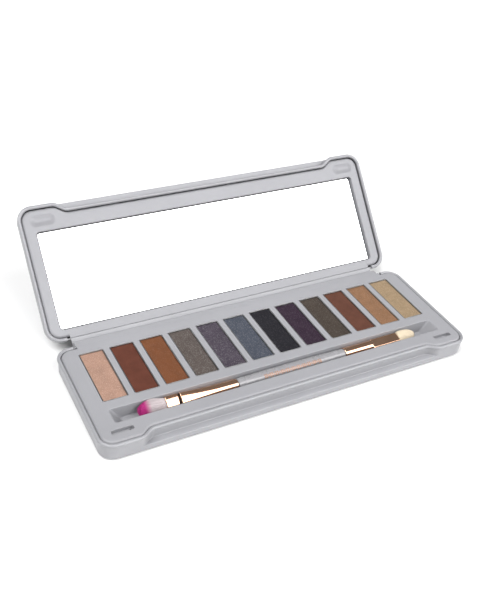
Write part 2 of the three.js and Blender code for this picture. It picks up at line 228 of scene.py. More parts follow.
def outline_points(inset, recess, corner_steps=14, curve_steps=18):
    """The case's outline from the rear left corner round the front.

    It is moved in by inset, and the finger recess is sunk by recess.
    """
    x = HALF_LENGTH - inset
    y = HALF_DEPTH - inset
    radius = CORNER_RADIUS - inset
    points = arc(radius - x, y - radius, radius, 90, 180, corner_steps)
    points += arc(radius - x, radius - y, radius, 180, 270, corner_steps)
    for side in (-1, 1):
        for i in range(curve_steps + 1):
            along = i / curve_steps if side < 0 else 1 - i / curve_steps
            depth = along * along * (3 - 2 * along)
            px = side * (RECESS_GONE_X + (RECESS_FULL_X - RECESS_GONE_X) * along)
            points.append((px, -y + recess * depth))
    points += arc(x - radius, radius - y, radius, -90, 0, corner_steps)
    points += arc(x - radius, y - radius, radius, 0, 90, corner_steps)
    return points


def case_ring(inset, recess, z):
    return [(x, y, z) for x, y in outline_points(inset, recess)]


def rounded(half_x, half_y, radius, center_x, center_y, z, steps=6):
    right = center_x + half_x - radius
    left = center_x - half_x + radius
    back = center_y + half_y - radius
    front = center_y - half_y + radius
    points = arc(right, front, radius, -90, 0, steps)
    points += arc(right, back, radius, 0, 90, steps)
    points += arc(left, back, radius, 90, 180, steps)
    points += arc(left, front, radius, 180, 270, steps)
    return [(x, y, z) for x, y in points]


def circle(radius, center_x, center_y, z, steps=24):
    return [(x, y, z) for x, y in arc(center_x, center_y, radius, 0, 360, steps)[:-1]]


# ================= Tin shells =================


def add_shell(shape, height, ledge):
    """One pressed half of the case, standing on its flat: floor, wall with its ledge, and the rolled rim."""
    rings = [case_ring(WALL_INSET + EDGE_RADIUS + 1, 0, 0)]
    for sine, cosine in quarter(10):
        rings.append(case_ring(WALL_INSET + EDGE_RADIUS * (1 - sine), 0, EDGE_RADIUS * (1 - cosine)))
    for sine, cosine in quarter(6):
        rings.append(case_ring(WALL_INSET, LEDGE_FILLET * (1 - cosine), ledge - LEDGE_FILLET * (1 - sine)))
    rise = ledge + 0.05
    for sine, cosine in quarter(6):
        rings.append(case_ring(
            WALL_INSET, RECESS_DEPTH - LEDGE_FILLET * (1 - sine), rise + LEDGE_FILLET * (1 - cosine),
        ))
    wall_top = height - BEAD_RADIUS - 0.02
    inner = WALL_INSET + SHEET
    inner_radius = EDGE_RADIUS - SHEET
    rings.append(case_ring(WALL_INSET, RECESS_DEPTH, wall_top))
    rings.append(case_ring(inner, RECESS_DEPTH, wall_top))
    rings.append(case_ring(inner, RECESS_DEPTH, rise - SHEET))
    rings.append(case_ring(inner, 0, ledge - SHEET))
    for sine, cosine in reversed(quarter(8)):
        rings.append(case_ring(inner + inner_radius * (1 - sine), 0, SHEET + inner_radius * (1 - cosine)))
    rings.append(case_ring(inner + inner_radius + 1, 0, SHEET))
    rows = shape.loft(rings)
    shape.fill(rows[0])
    shape.fill(rows[-1])
    add_rolled_rim(shape, height - BEAD_RADIUS)


def add_rolled_rim(shape, z):
    """The rim's bead: a hollow roll that stops on both sides of the hinge with its ends open."""
    rear = HALF_DEPTH - BEAD_RADIUS
    path = [(-RIM_CUT_HALF, rear)]
    path += outline_points(BEAD_RADIUS, RECESS_DEPTH)
    path.append((RIM_CUT_HALF, rear))
    steps = 24
    outer_rings, inner_rings = [], []
    for i, (x, y) in enumerate(path):
        before = Vector(path[max(i - 1, 0)])
        after = Vector(path[min(i + 1, len(path) - 1)])
        here = Vector((x, y))
        into = (here - before).normalized() if i else Vector((0, 0))
        out = (after - here).normalized() if i + 1 < len(path) else Vector((0, 0))
        along = (into + out).normalized()
        outward = Vector((along.y, -along.x))
        for radius, rings in ((BEAD_RADIUS, outer_rings), (BEAD_HOLLOW, inner_rings)):
            ring = []
            for u, w in arc(0, 0, radius, 0, 360, steps)[:-1]:
                ring.append((x + outward.x * u, y + outward.y * u, z + w))
            rings.append(ring)
    outside = shape.loft(outer_rings)
    inside = shape.loft(inner_rings)
    shape.bridge(outside[0], inside[0])
    shape.bridge(outside[-1], inside[-1])


def add_drawn(shape, profile, half, chamfer=0.06):
    """A closed profile in the Y-Z plane drawn out along X, with an extra ring of points the chamfer's length
    in from each end.
    """
    rings = []
    for x in (-half, -half + chamfer, half - chamfer, half):
        rings.append([(x, y, z) for y, z in profile])
    rows = shape.loft(rings)
    shape.fill(rows[0])
    shape.fill(rows[-1])


def base_leaf_profile():
    """The base's rear wall, which runs on as a flat leaf and rolls up round the wire."""
    back = HALF_DEPTH - WALL_INSET + 0.02
    front = back - SHEET - 0.04
    top = HINGE.z + BASE_CURL
    foot = 7.2
    profile = [(front, foot), (back, foot), (back, top - LEAF_SHEET - 0.2)]
    profile += [(back + 0.2, top - LEAF_SHEET)]
    profile += arc(HINGE.y, HINGE.z, BASE_CURL - LEAF_SHEET, 90, -200, 48)
    profile += arc(HINGE.y, HINGE.z, BASE_CURL, -200, 90, 56)
    profile += arc(front + 0.5, top - 0.5, 0.5, 90, 180, 6)
    return profile


def lid_leaf_profile():
    """The lid's leaf: from its wall over the base's leaf, then round the base's curl to its tip."""
    back = HALF_DEPTH - WALL_INSET + 0.02
    front = back - SHEET - 0.04
    inner = LID_CURL - LEAF_SHEET
    underside = RIM_PLANE + 0.2
    join_deg, tip_deg = 60, -64

    def sweep(radius, z, steps=14):
        """A quadratic curve from the flat leaf into the roll."""
        slope = math.radians(join_deg)
        end = Vector((HINGE.y + radius * math.cos(slope), HINGE.z + radius * math.sin(slope)))
        reach = (z - end.y) / math.cos(slope)
        knee = Vector((end.x - reach * math.sin(slope), z))
        start = Vector((HALF_DEPTH + 0.8, z))
        points = []
        for i in range(steps + 1):
            t = i / steps
            p = start * (1 - t) ** 2 + knee * (2 * t * (1 - t)) + end * t ** 2
            points.append((p.x, p.y))
        return points

    top = RIM_PLANE + 2.6
    profile = [(front, top)]
    profile += arc(front + 0.5, underside + 0.5, 0.5, 180, 270, 6)
    profile += sweep(inner, underside)
    profile += arc(HINGE.y, HINGE.z, inner, join_deg, tip_deg, 30)[1:]
    profile += arc(HINGE.y, HINGE.z, LID_CURL, tip_deg, join_deg, 34)
    profile += sweep(LID_CURL, underside + LEAF_SHEET)[::-1][1:]
    profile += arc(back + 0.3, underside + LEAF_SHEET + 0.3, 0.3, 270, 180, 4)
    profile.append((back, top))
    return profile


# ================= Plastic inserts =================


def add_insert(shape, bottom, top, holes, under_holes):
    """A moulded cover, open underneath, with a rounded shoulder.

    holes open its face and under_holes its back.
    """
    rings = [case_ring(INSERT_INSET, RECESS_DEPTH, bottom)]
    for sine, cosine in quarter(10):
        inset = INSERT_INSET + SHOULDER * (1 - cosine)
        rings.append(case_ring(inset, RECESS_DEPTH, top - SHOULDER * (1 - sine)))
    rings.append(case_ring(INSERT_INSET + SHOULDER + HOLD, RECESS_DEPTH, top))
    outside = shape.loft(rings)
    shape.fill(outside[-1], holes)
    hollow = INSERT_INSET + INSERT_WALL
    inside = shape.loft([
        case_ring(hollow, RECESS_DEPTH, bottom),
        case_ring(hollow, RECESS_DEPTH, top - INSERT_FLANGE),
    ])
    shape.bridge(outside[0], inside[0])
    shape.fill(inside[-1], under_holes)


def well_rings(top_form, floor_form, radius, top, floor, top_fillet, floor_fillet, center_x=0):
    """Rings down a well, from its flat border inwards.

    The mouth and the floor are (half x, half y, centre y).
    """
    depth = top - floor

    def ring(grow, z):
        t = (top - z) / depth
        half_x, half_y, center_y = (a + (b - a) * t for a, b in zip(top_form, floor_form))
        return rounded(half_x + grow, half_y + grow, radius + grow, center_x, center_y, z)

    rings = [ring(top_fillet + HOLD, top)]
    for sine, cosine in quarter(5):
        rings.append(ring(top_fillet * (1 - sine), top - top_fillet * (1 - cosine)))
    for sine, cosine in quarter(5):
        rings.append(ring(-floor_fillet * (1 - cosine), floor + floor_fillet * (1 - sine)))
    rings.append(ring(-floor_fillet - HOLD / 2, floor))
    return rings


def add_block(shape, forms, radius, under, bottom, center_x=0):
    """The outside of a pocket below the cover, and the ring where it leaves the cover's back."""
    rings = []
    for (half_x, half_y, center_y), z in zip(forms, (under, bottom)):
        rings.append(rounded(half_x, half_y, radius, center_x, center_y, z))
    rows = shape.loft(rings)
    return rows


def grown(form, by):
    return (form[0] + by, form[1] + by, form[2])


def tray_shape():
    shape = Shape()
    under = TRAY_TOP - INSERT_FLANGE
    pocket_floor = TRAY_TOP - POCKET_DEPTH
    channel_floor = TRAY_TOP - CHANNEL_DEPTH
    holes, under_holes = [], []
    centers = []
    for number in range(1, 13):
        low, high = box_mm(f"pan_{number:02d}")
        centers.append((low + high) / 2)
    row_y = centers[0].y
    for center in centers:
        form = (*WINDOW, row_y)
        rows = shape.loft(well_rings(form, form, 0.9, TRAY_TOP, pocket_floor, 0.22, 0.3, center.x))
        holes.append(rows[0])
        shape.fill(rows[-1])
    rows = shape.loft(well_rings(CHANNEL_TOP, CHANNEL_FLOOR, 1.2, TRAY_TOP, channel_floor, 0.45, 0.7))
    holes.append(rows[0])
    shape.fill(rows[-1])
    pan_block = (centers[-1].x + WINDOW[0] + POCKET_WALL, WINDOW[1] + POCKET_WALL, row_y)
    rows = add_block(shape, (pan_block, pan_block), 1.2, under, pocket_floor - POCKET_WALL)
    under_holes.append(rows[0])
    shape.fill(rows[1])
    channel_block = (grown(CHANNEL_TOP, 0.8), grown(CHANNEL_FLOOR, 0.8))
    rows = add_block(shape, channel_block, 1.8, under, channel_floor - 0.8)
    under_holes.append(rows[0])
    shape.fill(rows[1])
    for side in (-1, 1):
        add_slot(shape, side * LATCH_X, under, holes, under_holes)
    add_insert(shape, SKIRT_BOTTOM, TRAY_TOP, holes, under_holes)
    add_rear_lip(shape, TRAY_LIP_Y, TRAY_TOP)
    return shape


def add_slot(shape, center_x, under, holes, under_holes):
    """A latch slot: a shallow groove with a through hole at its right end."""
    floor = TRAY_TOP - SLOT_DEPTH
    form = (*SLOT, LATCH_Y)
    hole_x = center_x + SLOT[0] - SLOT_HOLE - 0.2
    boss_bottom = floor - SLOT_WALL
    rows = shape.loft(well_rings(form, form, 0.7, TRAY_TOP, floor, 0.25, 0.15, center_x))
    holes.append(rows[0])
    drop = shape.loft([
        circle(SLOT_HOLE, hole_x, LATCH_Y, floor),
        circle(SLOT_HOLE, hole_x, LATCH_Y, boss_bottom),
    ])
    shape.fill(rows[-1], [drop[0]])
    boss = (SLOT[0] + 0.8, SLOT[1] + 0.8, LATCH_Y)
    rows = add_block(shape, (boss, boss), 1, under, boss_bottom, center_x)
    under_holes.append(rows[0])
    shape.fill(rows[1], [drop[1]])


def add_rear_lip(shape, back, top):
    """An insert's flat edge towards the hinge, which covers its round shoulder there."""
    front = HALF_DEPTH - INSERT_INSET - SHOULDER
    bottom = top - LIP_THICKNESS
    radius = 0.2
    profile = [(front, bottom), (back, bottom)]
    profile += arc(back - radius, top - radius, radius, 0, 90, 5)
    profile.append((front, top))
    add_drawn(shape, profile, LEAF_HALF)


def frame_shape():
    """The mirror's frame, drawn face up; building it turns it face down."""
    shape = Shape()
    top = -FRAME_PLANE
    under = top - INSERT_FLANGE
    window_x = glass_high.x + GAP
    window_y = (glass_high.y - glass_low.y) / 2 + GAP
    center_y = (glass_high.y + glass_low.y) / 2
    form = (window_x, window_y, center_y)
    rows = shape.loft(well_rings(form, form, 1.5, top, -FRAME_FLOOR, 0.3, 0.2))
    holes = [rows[0]]
    shape.fill(rows[-1])
    block = grown(form, 0.8)
    rows = add_block(shape, (block, block), 2.3, under, -FRAME_FLOOR - 0.8)
    shape.fill(rows[1])
    under_holes = [rows[0]]
    for side in (-1, 1):
        holes.append(add_mound(shape, side * LATCH_X, top))
    skirt_bottom = -(LID_TOP - SHEET - GAP)
    add_insert(shape, skirt_bottom, top, holes, under_holes)
    add_rear_lip(shape, FRAME_LIP_Y, top)
    return shape


def add_mound(shape, center_x, top, steps=14):
    """A latch mound: a soft oval hill with a narrow ridge, which presses into the tray's slot."""
    rings = []
    for i in range(steps + 1):
        t = i / steps
        half_x = MOUND_FOOT[0] + (MOUND_RIDGE[0] - MOUND_FOOT[0]) * t
        half_y = MOUND_FOOT[1] + (MOUND_RIDGE[1] - MOUND_FOOT[1]) * t
        rise = MOUND_HEIGHT * math.sin(math.pi / 2 * t) ** 1.6
        rings.append(rounded(half_x, half_y, half_y * 0.92, center_x, LATCH_Y, top + rise, 8))
    rows = shape.loft(rings)
    shape.fill(rows[-1])
    return rows[0]


def glass_shape():
    shape = Shape()
    half_x = glass_high.x - GLASS_PLAY
    half_y = (glass_high.y - glass_low.y) / 2 - GLASS_PLAY
    center_y = (glass_high.y + glass_low.y) / 2
    bevel = 0.12
    rings = []
    for grow, z in (
        (-bevel - HOLD, glass_low.z), (-bevel, glass_low.z), (0, glass_low.z + bevel),
        (0, glass_high.z - bevel), (-bevel, glass_high.z), (-bevel - HOLD, glass_high.z),
    ):
        rings.append(rounded(half_x + grow, half_y + grow, 1.2 + grow, 0, center_y, z))
    rows = shape.loft(rings)
    shape.fill(rows[0])
    shape.fill(rows[-1])
    return shape


# ================= Pans and powders =================


PAN_SPREAD = 0.15
PAN_WALL = 0.2
CAKE_SPREAD = 0.45


def pan_shape(low, high):
    """A drawn metal pan with round lower edges and a rolled lip."""
    shape = Shape()
    center = (low + high) / 2
    half_x, half_y = (high - low).xy / 2 + Vector((PAN_SPREAD, PAN_SPREAD))
    wall = PAN_WALL
    lip = wall / 2
    foot = 0.6
    corner = 0.7

    def ring(inset, z):
        return rounded(half_x - inset, half_y - inset, max(corner - inset, 0.12), center.x, center.y, z)

    rings = [ring(foot + HOLD, low.z)]
    for sine, cosine in quarter(5):
        rings.append(ring(foot * (1 - sine), low.z + foot * (1 - cosine)))
    for u, w in arc(lip, high.z - lip, lip, 180, 0, 8):
        rings.append(ring(u, w))
    inner_foot = foot - wall
    floor = low.z + wall
    for sine, cosine in reversed(quarter(4)):
        rings.append(ring(wall + inner_foot * (1 - sine), floor + inner_foot * (1 - cosine)))
    rings.append(ring(foot + HOLD, floor))
    rows = shape.loft(rings)
    shape.fill(rows[0])
    shape.fill(rows[-1])
    return shape


def powder_shape(low, high, seed):
    """A pressed cake: a crowned top with a crumbly edge, on straight sides."""
    shape = Shape()
    center = (low + high) / 2
    half_x, half_y = (high - low).xy / 2 + Vector((CAKE_SPREAD, CAKE_SPREAD))
    count_x, count_y = 28, 78
    corner = 0.6
    edge_drop = 0.16
    edge_reach = 0.4
    crown = 0.1
    grain = 0.035
    offset = Vector((seed * 7.3, seed * 3.1, 0))
    grid = []
    for j in range(count_y + 1):
        row = []
        for i in range(count_x + 1):
            x = half_x * math.sin(math.pi / 2 * (2 * i / count_x - 1) * 0.9) / math.sin(math.pi / 2 * 0.9)
            y = half_y * (2 * j / count_y - 1)
            over = Vector((max(abs(x) - half_x + corner, 0), max(abs(y) - half_y + corner, 0)))
            if over.length > corner:
                over = over.normalized() * corner
                x = math.copysign(half_x - corner + over.x, x)
                y = math.copysign(half_y - corner + over.y, y)
            reach = corner - over.length if min(over) > 0 else min(half_x - abs(x), half_y - abs(y))
            fall = max(1 - max(reach, 0) / edge_reach, 0) ** 2
            rough = noise.noise(Vector((x, y, 0)) * 1.7 + offset) * 0.6
            rough += noise.noise(Vector((x, y, 0)) * 4.3 + offset) * 0.4
            hill = crown * (1 - (x / half_x) ** 2) * (1 - (y / half_y) ** 2)
            z = high.z - crown - grain + hill - edge_drop * fall + grain * rough
            row.append((center.x + x, center.y + y, z))
        grid.append(shape.row(row))
    for a, b in zip(grid, grid[1:]):
        shape.bridge(a, b, closed=False)
    border = grid[0] + [row[-1] for row in grid[1:]] + grid[-1][-2::-1] + [row[0] for row in grid[-2:0:-1]]
    foot = shape.row((shape.points[i].x, shape.points[i].y, low.z) for i in border)
    shape.bridge(border, foot)
    shape.fill(foot)
    return shape


# ================= Brush =================

handle_low, handle_high = box_mm("brush_handle")
AXIS_Y = (handle_low.y + handle_high.y) / 2
AXIS_Z = (handle_low.z + handle_high.z) / 2
BRUSH_ROLL = 42  # the flat parts lie tilted, broad side up to the front


def brush_point(x, wide, thick, lift=0.0, roll=BRUSH_ROLL):
    """A point from its place across the flat parts and through their thickness."""
    across, through = math.cos(math.radians(roll)), math.sin(math.radians(roll))
    y = AXIS_Y + wide * across - thick * through
    z = AXIS_Z + lift + wide * through + thick * across
    return Vector((x, y, z))


def smooth_sections(sections, steps):
    """More sections in between, on a curve through the given ones."""
    finer = []
    for i in range(len(sections) - 1):
        before = sections[max(i - 1, 0)]
        a, b = sections[i], sections[i + 1]
        after = sections[min(i + 2, len(sections) - 1)]
        span = b[0] - a[0]
        for step in range(steps):
            t = step / steps
            section = [a[0] + span * t]
            for k in range(1, len(a)):
                slope_a = (b[k] - before[k]) / (b[0] - before[0]) * span
                slope_b = (after[k] - a[k]) / (after[0] - a[0]) * span
                if (a[k] - before[k]) * (b[k] - a[k]) <= 0:
                    slope_a = 0
                if (b[k] - a[k]) * (after[k] - b[k]) <= 0:
                    slope_b = 0
                value = (2 * t ** 3 - 3 * t ** 2 + 1) * a[k] + (t ** 3 - 2 * t ** 2 + t) * slope_a
                value += (3 * t ** 2 - 2 * t ** 3) * b[k] + (t ** 3 - t ** 2) * slope_b
                section.append(value)
            finer.append(tuple(section))
    finer.append(tuple(sections[-1]))
    return finer


def section_rings(sections, segments, lift=0.0):
    """Rings round the brush's axis from (x, half width, half thickness[, squareness[, roll]]).

    A squareness of 2 is an ellipse. More is a flatter face with tighter round edges.
    """
    rings = []
    for x, half_width, half_thick, *rest in sections:
        power = 2 / rest[0] if rest else 1
        roll = rest[1] if len(rest) > 1 else BRUSH_ROLL
        ring = []
        for i in range(segments):
            angle = 2 * math.pi * i / segments
            cosine, sine = math.cos(angle), math.sin(angle)
            wide = math.copysign(abs(cosine) ** power, cosine) * half_width
            thick = math.copysign(abs(sine) ** power, sine) * half_thick
            ring.append(brush_point(x, wide, thick, lift, roll))
        rings.append(ring)
    return rings


def add_body(shape, sections, segments=40, steps=6):
    rows = shape.loft(section_rings(smooth_sections(sections, steps), segments))
    shape.fill(rows[0])
    shape.fill(rows[-1])


def add_sleeve(shape, outer, inner, segments=48, steps=6):
    """A tube with an outer and an inner run of sections, joined at both ends."""
    outside = shape.loft(section_rings(smooth_sections(outer, steps), segments))
    inside = shape.loft(section_rings(smooth_sections(inner, steps), segments))
    shape.bridge(outside[0], inside[0])
    shape.bridge(outside[-1], inside[-1])


def handle_shape():
    shape = Shape()
    left, right = -26.8, 32.8
    add_body(shape, [
        (handle_low.x, 2.2, 2.2), (handle_low.x + 0.2, 2.3, 2.3), (left - 0.1, 2.3, 2.3),
        (left, 2.75, 2.75), (left + 0.25, 2.85, 2.85), (-12, 3.05, 3.05), (10, 3.1, 3.1),
        (right - 0.25, 2.75, 2.75), (right, 2.65, 2.65), (right + 0.1, 2.3, 2.3),
        (handle_high.x - 0.2, 2.3, 2.3), (handle_high.x, 2.2, 2.2),
    ])
    return shape


def handle_print_shape():
    """A generic row of short slanted bars in metal foil round the front of the handle."""
    shape = Shape()
    radius = 3.12
    thickness = 0.02
    first, last, pitch = -13.5, 18.5, 1.0
    bars = int((last - first) / pitch)
    for bar in range(bars):
        x0 = first + bar * pitch
        tall = bar % 3 != 2
        start_deg, end_deg = (113, 152) if tall else (122, 143)
        lean = 0.3
        width = 0.55
        grid = {}
        for level, r in enumerate((radius, radius + thickness)):
            for j in range(7):
                t = j / 6
                angle = math.radians(start_deg + (end_deg - start_deg) * t)
                for i in range(2):
                    x = x0 + width * i + lean * t
                    y = AXIS_Y + r * math.cos(angle)
                    z = AXIS_Z + r * math.sin(angle)
                    grid[level, j, i] = shape.row([(x, y, z)])[0]
        for j in range(6):
            for level in (0, 1):
                near = (grid[level, j, 0], grid[level, j, 1])
                far = (grid[level, j + 1, 1], grid[level, j + 1, 0])
                shape.faces.append((*near, *far))
            for i in (0, 1):
                shape.faces.append((grid[0, j, i], grid[1, j, i], grid[1, j + 1, i], grid[0, j + 1, i]))
        for j in (0, 6):
            shape.faces.append((grid[0, j, 0], grid[0, j, 1], grid[1, j, 1], grid[1, j, 0]))
    return shape


def brush_ferrule_shape():
    """A seamless tube, round at the handle, pressed flat at the hair and crimped behind its mouth."""
    shape = Shape()
    low, high = box_mm("brush_ferrule")
    mouth, end = low.x, high.x
    outer = [
        (mouth, 3.6, 1.65, 3.2), (mouth + 0.12, 3.75, 1.8, 3.2), (mouth + 0.4, 3.8, 1.85, 3.2),
        (mouth + 5.9, 3.8, 1.85, 3.2), (mouth + 6.1, 3.75, 1.75, 3.2), (mouth + 6.75, 3.1, 1.2, 3),
        (mouth + 7.4, 3.7, 2.0, 3), (mouth + 7.6, 3.75, 2.1, 3),
        (-48, 3.35, 2.55, 2.6), (-38, 3.0, 2.9, 2.1), (end - 0.5, 3.0, 3.0, 2),
        (end - 0.15, 2.95, 2.95, 2), (end, 2.85, 2.85, 2),
    ]
    inner = [
        (mouth, 3.5, 1.55, 3.2), (mouth + 1, 3.3, 1.3, 3), (mouth + 5.5, 3.1, 1.2, 3),
        (mouth + 6.75, 2.8, 0.9, 3), (mouth + 8, 3.1, 1.3, 3), (mouth + 13, 2.95, 1.95, 2.6),
        (mouth + 24, 2.6, 2.55, 2), (end - 1, 2.65, 2.65, 2), (end, 2.75, 2.75, 2),
    ]
    add_sleeve(shape, outer, inner)
    return shape


SPONGE_FLAT_ROLL = 8  # the ferrule is pressed flatter, and less tilted, where it holds the sponge


def sponge_ferrule_shape():
    shape = Shape()
    low, high = box_mm("sponge_ferrule")
    start, mouth = low.x, high.x
    round_part, flat_part = (2, BRUSH_ROLL), (9, SPONGE_FLAT_ROLL)
    outer = [
        (start, 2.85, 2.85, *round_part), (start + 0.15, 2.95, 2.95, *round_part),
        (start + 0.5, 3, 3, *round_part), (49.5, 3, 3, *round_part), (51, 2.85, 2.05, *flat_part),
        (mouth - 3.6, 2.8, 2, *flat_part), (mouth - 3.2, 2.75, 1.94, *flat_part),
        (mouth - 2.8, 2.8, 2, *flat_part), (mouth - 0.3, 2.8, 2, *flat_part),
        (mouth - 0.1, 2.75, 1.95, *flat_part), (mouth, 2.65, 1.85, *flat_part),
    ]
    inner = [
        (start, 2.75, 2.75, *round_part), (start + 1, 2.65, 2.65, *round_part),
        (48.5, 2.65, 2.65, *round_part), (50.5, 2.5, 1.75, *flat_part),
        (mouth - 1, 2.45, 1.7, *flat_part), (mouth, 2.55, 1.78, *flat_part),
    ]
    add_sleeve(shape, outer, inner)
    return shape


HAIR_COUNT = 1500
HAIR_PINK_X = -73.4
HAIR_WHITE_X = -69.6
HAIR_CORNERS = (0.5, 2.6, 4.7)  # radians round a hair, which has three sides
HAIR_LIFT = 0.6  # the channel's floor pushes the tip up by this much


def hair_half_width(x):
    """Half width and half thickness of the tuft at x."""
    sections = [
        (-76.7, 2.6, 0.8), (-75.6, 3.9, 1.2), (-73.5, 4.5, 1.6), (-69.5, 4.4, 1.75), (-63.1, 3.25, 1.35),
        (-58, 2.8, 1.1),
    ]
    for a, b in zip(sections, sections[1:]):
        if x <= b[0]:
            t = max((x - a[0]) / (b[0] - a[0]), 0)
            t = t * t * (3 - 2 * t)
            return a[1] + (b[1] - a[1]) * t, a[2] + (b[2] - a[2]) * t
    return sections[-1][1:]


def tuft_shape():
    """Single hairs round a solid core, splayed from the ferrule's mouth and shorter at the sides."""
    shape = Shape()
    chance = random.Random(5)
    root_x = -59.0
    joints = 9
    for _ in range(HAIR_COUNT):
        angle = chance.uniform(0, 2 * math.pi)
        share = math.sqrt(chance.uniform(0.15, 1))
        side, rise = share * math.cos(angle), share * math.sin(angle)
        tip_x = -76.6 + 2.2 * side ** 4 + 0.6 * side * side + chance.uniform(0, 0.5)
        thick = chance.uniform(0.05, 0.075)
        wander = chance.uniform(-0.05, 0.05)
        rows = []
        for joint in range(joints):
            t = joint / (joints - 1)
            x = root_x + (tip_x - root_x) * t
            half_y, half_z = hair_half_width(max(x, -74.6))
            close = 1 - 0.25 * max(t - 0.8, 0) / 0.2
            wide = side * half_y * close * 0.97 + wander * t
            deep = rise * half_z * close * 0.95
            r = thick * (1 - 0.75 * t ** 3)
            rows.append([
                brush_point(x, wide + r * math.cos(a), deep + r * math.sin(a), HAIR_LIFT * t)
                for a in HAIR_CORNERS
            ])
        made = shape.loft(rows)
        shape.faces.append(tuple(made[0]))
        shape.faces.append(tuple(made[-1]))
    core = []
    for step in range(15):
        x = -75.4 + (root_x + 75.4) * step / 14
        half_y, half_z = hair_half_width(x)
        round_off = min(1, 0.35 + step / 5)
        core.append((x, half_y * 0.8 * round_off, half_z * 0.8 * round_off))
    rows = shape.loft(section_rings(core, 28, HAIR_LIFT / 2))
    shape.fill(rows[0])
    shape.fill(rows[-1])
    return shape


def sponge_shape():
    """A doe-foot foam tip with fine pores."""
    shape = Shape()
    low, high = box_mm("sponge_tip")
    tip = high.x
    sections = [
        (low.x, 1.6, 1.25), (low.x + 0.3, 1.7, 1.35), (tip - 11.15, 1.7, 1.4), (tip - 10.9, 3.0, 1.9),
        (tip - 10.3, 3.5, 2.15), (tip - 8, 3.75, 2.35), (tip - 4.5, 3.45, 2.2), (tip - 2, 2.6, 1.75),
        (tip - 0.6, 1.6, 1.15), (tip, 0.5, 0.3),
    ]
    rings = section_rings(smooth_sections(sections, 10), 72)
    rows = []
    for ring in rings:
        row = []
        for p in ring:
            point = Vector(p)
            middle = Vector((point.x, AXIS_Y, AXIS_Z))
            out = point - middle
            pore = noise.noise(point * 3.1) * 0.5 + noise.noise(point * 6.7) * 0.5
            shown = min(max((point.x - (tip - 10.8)) / 0.6, 0), 1)
            row.append(middle + out * (1 - 0.02 * shown + 0.022 * pore * shown))
        rows.append(row)
    rows = shape.loft(rows)
    shape.fill(rows[0])
    shape.fill(rows[-1])
    return shape


def wire_shape():
    shape = Shape()
    low, high = box_mm("hinge_wire")
    radius = (high.z - low.z) / 2
    rings = []
    edge = 0.12
    outline = [
        (low.x, radius - edge), (low.x + edge, radius), (high.x - edge, radius), (high.x, radius - edge),
    ]
    for x, r in outline:
        rings.append([(x, HINGE.y + u, HINGE.z + w) for u, w in arc(0, 0, r, 0, 360, 28)[:-1]])
    rows = shape.loft(rings)
    shape.fill(rows[0])
    shape.fill(rows[-1])
    return shape


# ================= Materials =================


